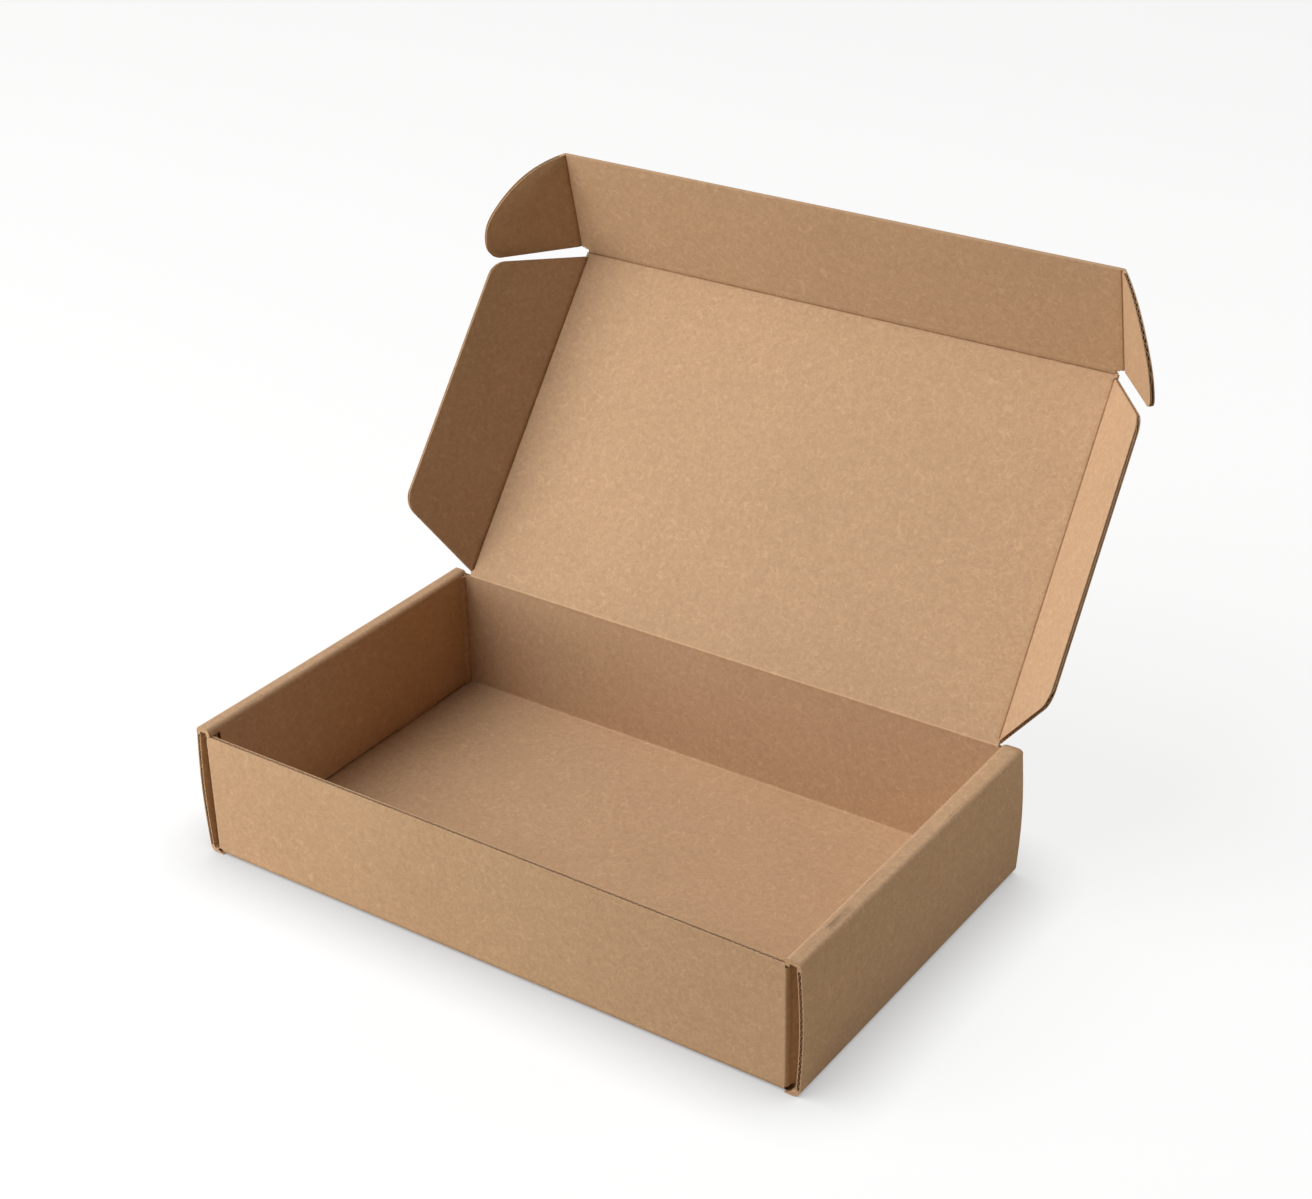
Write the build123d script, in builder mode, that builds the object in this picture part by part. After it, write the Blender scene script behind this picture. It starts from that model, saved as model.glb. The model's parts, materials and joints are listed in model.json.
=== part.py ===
from build123d import *
from math import cos, radians, sin
import os

os.makedirs("parts", exist_ok=True)

# A mailer box cut from one sheet of corrugated board and folded up, standing open.
# Origin: middle of the base's underside. X to the right, Y to the back, Z up.

# Board
board = 1.7
half_board = board / 2
crease_gap = 0.35
crease_bevel = 1.2
panel_start = half_board + crease_gap

# Tray
outer_length = 265.0
outer_depth = 154.0
side_height = 54.4
front_height = 52.7
hinge_height = 53.2
side_wall_width = 6.2
base_fold_radius = 3.0
wall_fold_radius = 2.5
top_fold_radius = 2.0
inner_panel_foot = 2.0
inner_panel_front_gap = 4.3
inner_panel_back_gap = 3.2
inner_panel_corner = 3.0
front_lip_gap = 0.3

# Flaps at the ends of the front and back walls, which spring out again inside the hollow side walls
corner_flap_inset = 0.9
corner_flap_length = 48.0
corner_flap_bottom = 2.4
corner_flap_top = 51.0
corner_flap_flare = 2.3
corner_flap_flare_run = 4.6
corner_fold_radius = 2.0
corner_flare_radius = 4.0

# Tabs under the inner panels, and the slots of the base that hold them
tab_width = 26.0
tab_spacing = 80.0
tab_bottom = 0.2
slot_clearance = 0.4

# Lid, measured between crease lines
lid_depth = 144.2
lid_width_at_hinge = 246.0
lid_width_at_front = 241.0
lid_lean = 37.0

# Front flap, hinged along the lid's front crease
front_flap_width = 248.0
front_flap_height = 46.1
front_flap_fold = 49.2
corner_relief = 3.0
corner_relief_width = 4.0

# Side flaps of the lid: the slanted ends leave the crease at the foot and at the head
side_flap_width = 40.2
side_flap_foot = 2.0
side_flap_foot_run = 16.0
side_flap_head = 142.0
side_flap_head_run = 18.4
side_flap_corner = 9.0
side_flap_folds = {"left": 62.5, "right": 50.4}

# Ears of the front flap
ear_reach = 41.0
ear_tip_height = 18.0
ear_elbow_reach = 35.0
ear_elbow_height = 11.0
ear_shoulder_reach = 33.3
ear_shoulder_height = 33.5
ear_folds = {"left": 60.0, "right": 51.5}

half_length = outer_length / 2
half_depth = outer_depth / 2
inner_face = half_length - side_wall_width
corner_flap_face = half_length - board - corner_flap_inset
corner_flap_crease = corner_flap_face - corner_flap_flare
wall_half = inner_face
hinge_y = half_depth - half_board
roll_radii = [base_fold_radius, top_fold_radius, top_fold_radius]
inner_middle = inner_face + half_board
relief_width = board + 2 * slot_clearance
front_relief = board + inner_panel_front_gap
back_relief = board + inner_panel_back_gap
lid_taper = (lid_width_at_hinge - lid_width_at_front) / lid_depth
lid_half_at_start = (lid_width_at_hinge - lid_taper * panel_start) / 2
relief_half = front_flap_width / 2 - corner_relief_width
sides = {"left": -1, "right": 1}


def leaning_plane(lean, origin):
    """Plane of a panel that leans back from upright: its X runs along the box, its Y up the panel."""
    facing = (0, -cos(radians(lean)), sin(radians(lean)))
    return Plane(origin=origin, x_dir=(1, 0, 0), z_dir=facing)


def folded_plane(panel, start, end, side, fold):
    """Plane of a flap folded in from a panel's side crease: its X runs up the crease, its Y out of it."""
    foot = panel.from_local_coords(Vector(*start))
    along = (panel.from_local_coords(Vector(*end)) - foot).normalized()
    outward = along.cross(panel.z_dir) * side
    across = outward * cos(radians(fold)) + panel.z_dir * sin(radians(fold))
    return Plane(origin=foot, x_dir=along, z_dir=along.cross(across))


def bevel_crease(flap, plane, middle, inner):
    """Bevel a flap's inner edge beside its crease, where the score is crushed, so it folds past square."""
    beside = plane.from_local_coords(Vector(middle, panel_start, inner * half_board))
    chamfer(flap.edges().sort_by_distance(beside)[0], length=crease_bevel)


def round_edge(start, end):
    """Half-round bead of the board along a crease line, in the part being built."""
    run = end - start
    with BuildSketch(Plane(origin=start, z_dir=run.normalized())) as section:
        Circle(half_board)
    extrude(section.sketch, amount=run.length)


lid_plane = leaning_plane(lid_lean, (0, hinge_y, hinge_height))
lid_front = lid_plane.from_local_coords(Vector(0, lid_depth))
front_flap_plane = leaning_plane(lid_lean - front_flap_fold, lid_front)

# Tray: base, walls, rolled-over sides and tucked corner flaps
with BuildPart() as tray:
    # Side wall: up from the base, over a narrow top and down to the base again
    with BuildSketch(Plane.XZ):
        with BuildLine():
            outside = FilletPolyline(
                (wall_half - board, 0),
                (half_length, 0),
                (half_length, side_height),
                (inner_face, side_height),
                (inner_face, inner_panel_foot),
                radius=roll_radii,
            )
            inside = FilletPolyline(
                (wall_half - board, board),
                (half_length - board, board),
                (half_length - board, side_height - board),
                (inner_face + board, side_height - board),
                (inner_face + board, inner_panel_foot),
                radius=[radius - board for radius in roll_radii],
            )
            Line(outside @ 0, inside @ 0)
            Line(outside @ 1, inside @ 1)
        make_face()
    extrude(amount=half_depth, both=True)
    # The inner panel ends short of the front wall, under a lip of the top, and short of the back wall
    with Locations((inner_middle, -half_depth, inner_panel_foot)):
        Box(relief_width, front_relief, corner_flap_top + front_lip_gap - inner_panel_foot,
            align=(Align.CENTER, Align.MIN, Align.MIN), mode=Mode.SUBTRACT)
    with Locations((inner_middle, half_depth, inner_panel_foot)):
        Box(relief_width, back_relief, side_height - board - inner_panel_foot,
            align=(Align.CENTER, Align.MAX, Align.MIN), mode=Mode.SUBTRACT)
    foot_edges = tray.edges().filter_by(Axis.X)
    foot_edges = foot_edges.filter_by_position(Axis.Z, inner_panel_foot, inner_panel_foot)
    fillet(foot_edges.sort_by(Axis.Y)[-1], radius=inner_panel_corner)
    mirror(about=Plane.YZ)
    # Front wall, base and back wall in one strip
    with BuildSketch(Plane.YZ):
        with BuildLine():
            strip = FilletPolyline(
                (-half_depth, front_height),
                (-half_depth, 0),
                (half_depth, 0),
                (half_depth, hinge_height),
                radius=wall_fold_radius,
            )
            offset(strip, amount=board, side=Side.LEFT)
        make_face()
    extrude(amount=wall_half, both=True)
    # Slots of the base, with the inner panels' tabs seated in them
    with GridLocations(2 * inner_middle, tab_spacing, 2, 2):
        Box(board + 2 * slot_clearance, tab_width + 2 * slot_clearance, board,
            align=(Align.CENTER, Align.CENTER, Align.MIN), mode=Mode.SUBTRACT)
    with BuildSketch(Plane.XY.offset(tab_bottom)):
        with GridLocations(2 * inner_middle, tab_spacing, 2, 2):
            Rectangle(board, tab_width)
    extrude(amount=inner_panel_foot - tab_bottom)
    # Round top of the back wall, which the lid turns on
    round_edge(lid_plane.from_local_coords(Vector(-lid_width_at_hinge / 2)),
               lid_plane.from_local_coords(Vector(lid_width_at_hinge / 2)))
    # Corner flaps inside the side walls
    with BuildSketch(Plane.XY.offset(corner_flap_bottom)):
        with BuildLine():
            turn = FilletPolyline(
                (wall_half - board, -half_depth),
                (corner_flap_crease, -half_depth),
                (corner_flap_face, corner_flap_flare_run - half_depth),
                (corner_flap_face, corner_flap_length - half_depth),
                radius=[corner_fold_radius, corner_flare_radius],
            )
            offset(turn, amount=board, side=Side.LEFT)
        make_face()
        mirror(about=Plane.XZ)
        mirror(about=Plane.YZ)
    extrude(amount=corner_flap_top - corner_flap_bottom)
tray.part.label = "tray"
export_step(tray.part, "parts/tray.step")

# Lid panel, round along its front and side creases
with BuildPart() as lid_panel:
    with BuildSketch(lid_plane):
        Polygon(
            (-lid_half_at_start, panel_start),
            (lid_half_at_start, panel_start),
            (lid_width_at_front / 2, lid_depth),
            (-lid_width_at_front / 2, lid_depth),
            align=None,
        )
    extrude(amount=half_board, both=True)
    front_left = lid_plane.from_local_coords(Vector(-lid_width_at_front / 2, lid_depth))
    front_right = lid_plane.from_local_coords(Vector(lid_width_at_front / 2, lid_depth))
    round_edge(front_left, front_right)
    round_edge(lid_plane.from_local_coords(Vector(-lid_half_at_start, panel_start)), front_left)
    round_edge(lid_plane.from_local_coords(Vector(lid_half_at_start, panel_start)), front_right)
lid_panel.part.label = "lid_panel"
export_step(lid_panel.part, "parts/lid_panel.step")

# Front flap, with relieved corners beside the lid, round along the ears' creases
with BuildPart() as front_flap:
    with BuildSketch(front_flap_plane):
        Polygon(
            (-relief_half, panel_start),
            (relief_half, panel_start),
            (front_flap_width / 2, corner_relief),
            (front_flap_width / 2, front_flap_height),
            (-front_flap_width / 2, front_flap_height),
            (-front_flap_width / 2, corner_relief),
            align=None,
        )
    extrude(amount=half_board, both=True)
    bevel_crease(front_flap, front_flap_plane, 0, 1)
    for side in sides.values():
        round_edge(front_flap_plane.from_local_coords(Vector(side * front_flap_width / 2, corner_relief)),
                   front_flap_plane.from_local_coords(Vector(side * front_flap_width / 2, front_flap_height)))
front_flap.part.label = "front_flap"
export_step(front_flap.part, "parts/front_flap.step")

# Side flaps of the lid, with slanted ends and round corners
for name, side in sides.items():
    crease_foot = (side * lid_width_at_hinge / 2, 0)
    crease_head = (side * lid_width_at_front / 2, lid_depth)
    flap_plane = folded_plane(lid_plane, crease_foot, crease_head, side, side_flap_folds[name])
    with BuildPart() as side_flap:
        with BuildSketch(flap_plane) as outline:
            Polygon(
                (side_flap_foot, panel_start),
                (side_flap_head, panel_start),
                (side_flap_head - side_flap_head_run, side_flap_width),
                (side_flap_foot + side_flap_foot_run, side_flap_width),
                align=None,
            )
            fillet(outline.vertices().group_by(Axis.Y)[-1], radius=side_flap_corner)
        extrude(amount=half_board, both=True)
        bevel_crease(side_flap, flap_plane, lid_depth / 2, -side)
    side_flap.part.label = f"{name}_side_flap"
    export_step(side_flap.part, f"parts/{name}_side_flap.step")

# Ears of the front flap, cut to a long curve that ends in a small round tip
for name, side in sides.items():
    crease_foot = (side * front_flap_width / 2, 0)
    crease_head = (side * front_flap_width / 2, front_flap_height)
    ear_plane = folded_plane(front_flap_plane, crease_foot, crease_head, side, ear_folds[name])
    with BuildPart() as ear:
        with BuildSketch(ear_plane):
            with BuildLine():
                lower = Line((corner_relief, panel_start), (ear_elbow_height, ear_elbow_reach))
                tip = TangentArc((ear_tip_height, ear_reach), lower @ 1, tangent=(-1, 0))
                Spline(tip @ 0, (ear_shoulder_height, ear_shoulder_reach), (front_flap_height, panel_start),
                       tangents=((1, 0), (0, -1)))
                Line((front_flap_height, panel_start), lower @ 0)
            make_face()
        extrude(amount=half_board, both=True)
        bevel_crease(ear, ear_plane, front_flap_height / 2, -side)
    ear.part.label = f"{name}_ear"
    export_step(ear.part, f"parts/{name}_ear.step")
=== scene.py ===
import json
from math import copysign, pi, radians, sin, tan

import bmesh
import bpy
from bpy.props import FloatProperty, FloatVectorProperty, IntProperty, PointerProperty
from mathutils import Matrix, Vector

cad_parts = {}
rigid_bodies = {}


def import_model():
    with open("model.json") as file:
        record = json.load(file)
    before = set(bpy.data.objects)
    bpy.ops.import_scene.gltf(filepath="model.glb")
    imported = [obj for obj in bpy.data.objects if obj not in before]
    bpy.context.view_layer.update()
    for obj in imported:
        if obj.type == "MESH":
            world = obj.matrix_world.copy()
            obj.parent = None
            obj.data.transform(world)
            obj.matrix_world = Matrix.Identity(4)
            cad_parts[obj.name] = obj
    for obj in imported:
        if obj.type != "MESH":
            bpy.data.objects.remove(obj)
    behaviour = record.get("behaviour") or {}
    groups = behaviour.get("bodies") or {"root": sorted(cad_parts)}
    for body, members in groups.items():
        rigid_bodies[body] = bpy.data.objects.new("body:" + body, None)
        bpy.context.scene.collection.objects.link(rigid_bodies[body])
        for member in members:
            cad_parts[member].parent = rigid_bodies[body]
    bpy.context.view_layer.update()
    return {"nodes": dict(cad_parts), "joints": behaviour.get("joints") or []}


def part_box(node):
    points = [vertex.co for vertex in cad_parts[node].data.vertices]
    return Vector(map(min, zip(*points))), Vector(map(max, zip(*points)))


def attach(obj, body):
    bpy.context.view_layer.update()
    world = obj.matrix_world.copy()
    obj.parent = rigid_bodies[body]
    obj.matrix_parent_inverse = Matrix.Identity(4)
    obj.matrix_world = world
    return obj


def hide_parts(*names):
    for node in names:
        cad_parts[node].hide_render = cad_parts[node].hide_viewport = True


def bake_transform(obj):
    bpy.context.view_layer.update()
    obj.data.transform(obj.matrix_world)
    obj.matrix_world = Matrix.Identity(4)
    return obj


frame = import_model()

bl_info = {
    "name": "Open mailer box",
    "version": (1, 0, 0),
    "blender": (4, 5, 0),
    "location": "View3D > Sidebar > Mailer box",
    "description": "An open mailer box of corrugated board, with fluted edges and creased flaps",
    "category": "Mesh",
}

# The third paper is the lighter one on the lid's hinge bead: partly worn paper, partly a painted highlight
PAPERS = ("kraft liner", "kraft core", "kraft worn")
LINER, CORE, WORN_AND_HIGHLIT = range(len(PAPERS))
SIDES = {"left": -1, "right": 1}
JOINTS = {joint["child"]: joint for joint in frame["joints"]}
HINGE = Vector(JOINTS["lid_panel"]["pos_m"])
TRAY_LOW, TRAY_HIGH = (Vector(corner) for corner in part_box("tray"))
ACROSS, BACK, UP = Vector((1, 0, 0)), Vector((0, 1, 0)), Vector((0, 0, 1))

# Shading: angles between faces that are drawn sharp, and how much larger a flat face is than a fold's facet
SHARP_ANGLE = radians(20)
CRISP_ANGLE = radians(1.5)
FLAT_TO_FOLD = 5

# Distances in metres
MERGE_DISTANCE = 1e-6
ROOT_DISTANCE = 5e-5
RIM_INSET = 2e-5
CLIP_START = 0.01

# Reading a panel: faces that count as flat, as rims and as a flap's slanted end
FLAT_ANGLE = radians(0.2)
RIM_LIMIT = 0.9
SLANT_LIMIT = 0.7

# Creases: shares of the margin where a strip is cut across, so that its dip takes shape
DIP_SHARES = (0.6, 0.8)

# Side walls: cuts along and up a wall that let it bow and spring, and rows of its fluted paper
WALL_ROWS = 4
WALL_LEVELS = 8
FLUTE_ROWS = 16

# Cuts: how far they reach past a slot's mouth and past an inner panel, in thicknesses of the board
SLOT_REACH = 1.1
PANEL_REACH = 1.5

FLOOR_SEGMENTS = 96


class MailerBoard(bpy.types.PropertyGroup):
    """Corrugated board: two flat liners with a fluted sheet between them."""

    thickness: FloatProperty(
        name="Board thickness", description="Thickness of the whole board",
        default=0.0017, unit="LENGTH", precision=5)
    liner: FloatProperty(
        name="Liner", description="Thickness of each outer paper",
        default=0.00034, unit="LENGTH", precision=5)
    core: FloatProperty(
        name="Fluted paper", description="Thickness of the fluted paper",
        default=0.0002, unit="LENGTH", precision=5)
    crushed: FloatProperty(
        name="Crushed flutes", description="Thickness of the flutes where a cut edge is crushed",
        default=0.0003, unit="LENGTH", precision=5)
    edge_drop: FloatProperty(
        name="Edge drop", description="How far the flutes end below the liners at a cut edge",
        default=0.0001, unit="LENGTH", precision=5)
    edge_depth: FloatProperty(
        name="Edge depth", description="How far down from a wall's top edge the flutes are laid",
        default=0.012, unit="LENGTH")
    pitch: FloatProperty(
        name="Flute pitch", description="Length of one flute wave",
        default=0.0024, unit="LENGTH", precision=5)
    steps: IntProperty(
        name="Flute steps", description="Flat facets in one flute wave",
        default=10, min=4)
    fold_steps: IntProperty(
        name="Fold steps", description="Facets round a fold of the board",
        default=10, min=2)
    crease_margin: FloatProperty(
        name="Crease margin", description="Board on each side of a crease that bends with it",
        default=0.0025, unit="LENGTH", precision=5)
    crease_outer: FloatProperty(
        name="Crease outer radius", description="Radius on the outside of a crease",
        default=0.0017, unit="LENGTH", precision=5)
    groove: FloatProperty(
        name="Crease groove", description="Depth of the groove pressed along the inside of a crease",
        default=0.0005, unit="LENGTH", precision=5)
    groove_width: FloatProperty(
        name="Crease groove width", description="Width of the groove along a crease",
        default=0.0008, unit="LENGTH", precision=5)
    crease_dip: FloatProperty(
        name="Crease dip", description="How far the board sinks towards a crease's groove",
        default=0.00035, unit="LENGTH", precision=5)
    bead: FloatProperty(
        name="Hinge bead", description="Height of the worn bead along the lid's crease",
        default=0.00015, unit="LENGTH", precision=5)
    bead_width: FloatProperty(
        name="Hinge bead width", description="Width of the worn bead along the lid's crease",
        default=0.0011, unit="LENGTH", precision=5)
    score_offset: FloatProperty(
        name="Score offset", description="Distance of the second score from the front crease",
        default=0.004, unit="LENGTH", precision=5)
    score_width: FloatProperty(
        name="Score width", description="Width of the second score",
        default=0.0011, unit="LENGTH", precision=5)
    score_depth: FloatProperty(
        name="Score depth", description="Depth of the second score",
        default=0.00008, unit="LENGTH", precision=5)


class MailerTray(bpy.types.PropertyGroup):
    """Sizes of the folded tray."""

    front_height: FloatProperty(
        name="Front height", description="Height of the front wall",
        default=0.0527, unit="LENGTH")
    wall_width: FloatProperty(
        name="Side wall width", description="Width of a rolled-over side wall",
        default=0.0062, unit="LENGTH")
    base_fold: FloatProperty(
        name="Base fold", description="Outer radius of the fold under a side wall",
        default=0.003, unit="LENGTH")
    wall_fold: FloatProperty(
        name="Wall fold", description="Outer radius of the front and back folds",
        default=0.0025, unit="LENGTH")
    top_fold: FloatProperty(
        name="Top fold", description="Outer radius of the outer fold along a side wall's top",
        default=0.0015, unit="LENGTH")
    inner_fold: FloatProperty(
        name="Inner fold", description="Outer radius of the inner fold along a side wall's top",
        default=0.002, unit="LENGTH")
    panel_foot: FloatProperty(
        name="Inner panel foot", description="Height of an inner panel's lower edge",
        default=0.0024, unit="LENGTH", precision=5)
    panel_front_gap: FloatProperty(
        name="Front gap", description="Gap from the front wall to an inner panel",
        default=0.0043, unit="LENGTH", precision=5)
    panel_back_gap: FloatProperty(
        name="Back gap", description="Gap from the back wall to an inner panel",
        default=0.0024, unit="LENGTH", precision=5)
    panel_corner: FloatProperty(
        name="Inner panel corner", description="Radius of an inner panel's back corner",
        default=0.003, unit="LENGTH")
    lip_gap: FloatProperty(
        name="Lip gap", description="Gap between a corner flap and the side wall's lip over it",
        default=0.0003, unit="LENGTH", precision=5)
    flap_inset: FloatProperty(
        name="Corner flap inset", description="Gap between a corner flap and the outer side panel",
        default=0.0009, unit="LENGTH", precision=5)
    flap_length: FloatProperty(
        name="Corner flap length", description="Reach of a corner flap along a side",
        default=0.048, unit="LENGTH")
    flap_bottom: FloatProperty(
        name="Corner flap bottom", description="Height of a corner flap's lower edge",
        default=0.0024, unit="LENGTH")
    flap_top: FloatProperty(
        name="Corner flap top", description="Height of a corner flap's upper edge",
        default=0.051, unit="LENGTH")
    flap_flare: FloatProperty(
        name="Corner flap flare", description="How far a corner flap springs out again",
        default=0.0023, unit="LENGTH", precision=5)
    flap_straight: FloatProperty(
        name="Straight run", description="Depth of a corner flap before it springs out",
        default=0.0026, unit="LENGTH", precision=5)
    flap_flare_run: FloatProperty(
        name="Flare run", description="Depth over which a corner flap springs out",
        default=0.0032, unit="LENGTH", precision=5)
    corner_fold: FloatProperty(
        name="Corner fold", description="Outer radius of a corner flap's fold",
        default=0.002, unit="LENGTH")
    flare_fold: FloatProperty(
        name="Flare fold", description="Outer radius where a corner flap's flare ends",
        default=0.0032, unit="LENGTH")
    tab_width: FloatProperty(
        name="Tab width", description="Width of a tab under an inner panel",
        default=0.026, unit="LENGTH")
    tab_spacing: FloatProperty(
        name="Tab spacing", description="Distance between the two tabs of a side",
        default=0.08, unit="LENGTH")
    tab_bottom: FloatProperty(
        name="Tab bottom", description="Height of a tab's lower end in its slot",
        default=0.0002, unit="LENGTH", precision=5)
    slot_clearance: FloatProperty(
        name="Slot clearance", description="Gap round a tab in its slot",
        default=0.0004, unit="LENGTH", precision=5)
    back_flap_bottom: FloatProperty(
        name="Back flap bottom", description="Height of a back corner flap's lower edge",
        default=0.0004, unit="LENGTH", precision=5)
    back_flap_top: FloatProperty(
        name="Back flap top", description="Height of a back corner flap's upper edge",
        default=0.0526, unit="LENGTH")
    left_reach: FloatProperty(
        name="Left reach", description="How much further out the front wall's left fold lies",
        default=0.0012, unit="LENGTH", precision=5)
    splay: FloatProperty(
        name="Right splay", description="How far the right side wall's top leans in at the back",
        default=0.0026, unit="LENGTH", precision=5)
    lift: FloatProperty(
        name="Right lift", description="How far the right side wall's inner fold lifts in front",
        default=0.0012, unit="LENGTH", precision=5)
    left_lift: FloatProperty(
        name="Left lift", description="How far the left side wall's top lifts in front",
        default=0.0014, unit="LENGTH", precision=5)
    bow: FloatProperty(
        name="Side bow", description="How far an outer side panel bows out at its ends",
        default=0.0011, unit="LENGTH", precision=5)
    bow_middle: FloatProperty(
        name="Bow at the middle", description="Share of the bow at a side panel's middle",
        subtype="FACTOR", min=0, max=1, default=0.4)
    lid_width: FloatProperty(
        name="Lid width", description="Length of the lid's hinge crease",
        default=0.246, unit="LENGTH")


class MailerKraft(bpy.types.PropertyGroup):
    """Colours and grain of the kraft papers."""

    liner_light: FloatVectorProperty(
        name="Liner, light", description="Lighter tone of the outer papers",
        subtype="COLOR", min=0, max=1, default=(0.585, 0.379, 0.228))
    liner_dark: FloatVectorProperty(
        name="Liner, dark", description="Darker tone of the outer papers",
        subtype="COLOR", min=0, max=1, default=(0.45, 0.283, 0.162))
    # How much lighter the hinge bead's paper is: partly worn paper, partly a painted highlight
    worn: FloatProperty(
        name="Worn crease", description="How much lighter the paper is where a crease has worn",
        default=1.12, min=1)
    core_light: FloatVectorProperty(
        name="Core, light", description="Lighter tone of the fluted paper",
        subtype="COLOR", min=0, max=1, default=(0.42, 0.265, 0.155))
    core_dark: FloatVectorProperty(
        name="Core, dark", description="Darker tone of the fluted paper",
        subtype="COLOR", min=0, max=1, default=(0.33, 0.2, 0.11))
    roughness: FloatProperty(
        name="Roughness", description="Roughness of the paper",
        subtype="FACTOR", min=0, max=1, default=0.86)
    roughness_spread: FloatProperty(
        name="Roughness spread", description="How far the roughness varies either way",
        subtype="FACTOR", min=0, max=1, default=0.07)
    sheen: FloatProperty(
        name="Sheen", description="Strength of the paper's reflection",
        subtype="FACTOR", min=0, max=1, default=0.25)
    bump: FloatProperty(
        name="Bump", description="Strength of the paper's rough surface",
        subtype="FACTOR", min=0, max=1, default=0.35)
    bump_depth: FloatProperty(
        name="Bump depth", description="Depth of the paper's rough surface",
        default=0.00012, unit="LENGTH", precision=5)


class MailerStage(bpy.types.PropertyGroup):
    """Floor, lights and camera."""

    floor_radius: FloatProperty(
        name="Floor radius", description="Radius of the round floor",
        default=6.0, unit="LENGTH")
    floor_colour: FloatVectorProperty(
        name="Floor colour", description="Colour of the light that the floor throws back",
        subtype="COLOR", min=0, max=1, default=(0.52, 0.47, 0.36))
    floor_glow: FloatProperty(
        name="Floor glow", description="Even white of the floor in the camera's view only",
        default=0.845, min=0)
    floor_shade: FloatProperty(
        name="Floor shade", description="Share of light and shadow in the camera's view",
        default=0.16, min=0, max=1, subtype="FACTOR")
    contact_depth: FloatProperty(
        name="Contact shadow", description="Depth of the soft shadow at the box's foot",
        default=0.78, min=0, max=1, subtype="FACTOR")
    contact_reach: FloatProperty(
        name="Contact reach", description="Reach of the soft shadow at the box's foot",
        default=0.03, unit="LENGTH")
    key_from: FloatVectorProperty(
        name="Key light from", description="Direction that the key light comes from",
        subtype="DIRECTION", default=(-0.48, -0.38, 0.79))
    key_distance: FloatProperty(
        name="Key distance", description="Distance of the key light from the box",
        default=2.0, unit="LENGTH")
    key_size: FloatProperty(
        name="Key size", description="Diameter of the key light",
        default=2.4, unit="LENGTH")
    key_power: FloatProperty(
        name="Key power", description="Power of the key light",
        default=52.5, min=0, unit="POWER")
    front_from: FloatVectorProperty(
        name="Front light from", description="Direction that the front light comes from",
        subtype="DIRECTION", default=(-0.74, -0.66, 0.15))
    front_distance: FloatProperty(
        name="Front distance", description="Distance of the front light from the box",
        default=0.68, unit="LENGTH")
    front_size: FloatProperty(
        name="Front size", description="Diameter of the front light",
        default=0.3, unit="LENGTH")
    front_power: FloatProperty(
        name="Front power", description="Power of the front light",
        default=2.0, min=0, unit="POWER")
    back_from: FloatVectorProperty(
        name="Back light from", description="Direction that the back light comes from",
        subtype="DIRECTION", default=(0.8, 0.5, 0.35))
    back_distance: FloatProperty(
        name="Back distance", description="Distance of the back light from the box",
        default=1.4, unit="LENGTH")
    back_size: FloatProperty(
        name="Back size", description="Diameter of the back light",
        default=0.7, unit="LENGTH")
    back_power: FloatProperty(
        name="Back power", description="Power of the back light",
        default=6.4, min=0, unit="POWER")
    ambience: FloatProperty(
        name="Ambience", description="Strength of the light from all round",
        default=0.025, min=0)
    ambience_colour: FloatVectorProperty(
        name="Ambience colour", description="Colour of the light from all round",
        subtype="COLOR", min=0, max=1, default=(1.0, 0.7, 0.3))
    camera_at: FloatVectorProperty(
        name="Camera place", description="Where the camera stands",
        subtype="TRANSLATION", default=(0.4590857, -0.6170747, 0.5326007), precision=5)
    camera_turn: FloatProperty(
        name="Camera turn", description="Turn of the camera round the box",
        default=0.613550, unit="ROTATION")
    camera_dip: FloatProperty(
        name="Camera dip", description="Angle at which the camera looks down",
        default=0.499857, unit="ROTATION")
    camera_roll: FloatProperty(
        name="Camera roll", description="Roll of the camera about its view",
        default=-0.021310, unit="ROTATION")
    lens: FloatProperty(
        name="Lens", description="Focal length in millimetres",
        default=67.233, min=1)
    sensor: FloatProperty(
        name="Sensor", description="Width of the camera's sensor in millimetres",
        default=36, min=1)


def everything(mesh):
    """All the geometry of a mesh, as the cutting operators take it."""
    return mesh.verts[:] + mesh.edges[:] + mesh.faces[:]


def cut_line(mesh, place, direction):
    """Cut a line through a mesh where a plane meets it."""
    bmesh.ops.bisect_plane(mesh, geom=everything(mesh), plane_co=place, plane_no=direction)


def trim(mesh, place, direction):
    """Cut away what lies beyond a plane, on the side that its direction points to."""
    bmesh.ops.bisect_plane(mesh, geom=everything(mesh), plane_co=place, plane_no=direction, clear_outer=True)


def carry(mesh, swept, step):
    """Move the points that an extrusion has made."""
    points = [item for item in swept if isinstance(item, bmesh.types.BMVert)]
    bmesh.ops.translate(mesh, verts=points, vec=step)


def add_sheet(board, sheet, slot=LINER):
    """Move a finished sheet of paper into the board it belongs to."""
    for face in sheet.faces:
        face.material_index = slot
    carrier = bpy.data.meshes.new("sheet")
    sheet.to_mesh(carrier)
    sheet.free()
    board.from_mesh(carrier)
    bpy.data.meshes.remove(carrier)


def thicken(sheet, thickness):
    """Give a sheet its thickness, behind the side that its faces look to."""
    bmesh.ops.solidify(sheet, geom=sheet.faces[:], thickness=thickness)


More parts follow.
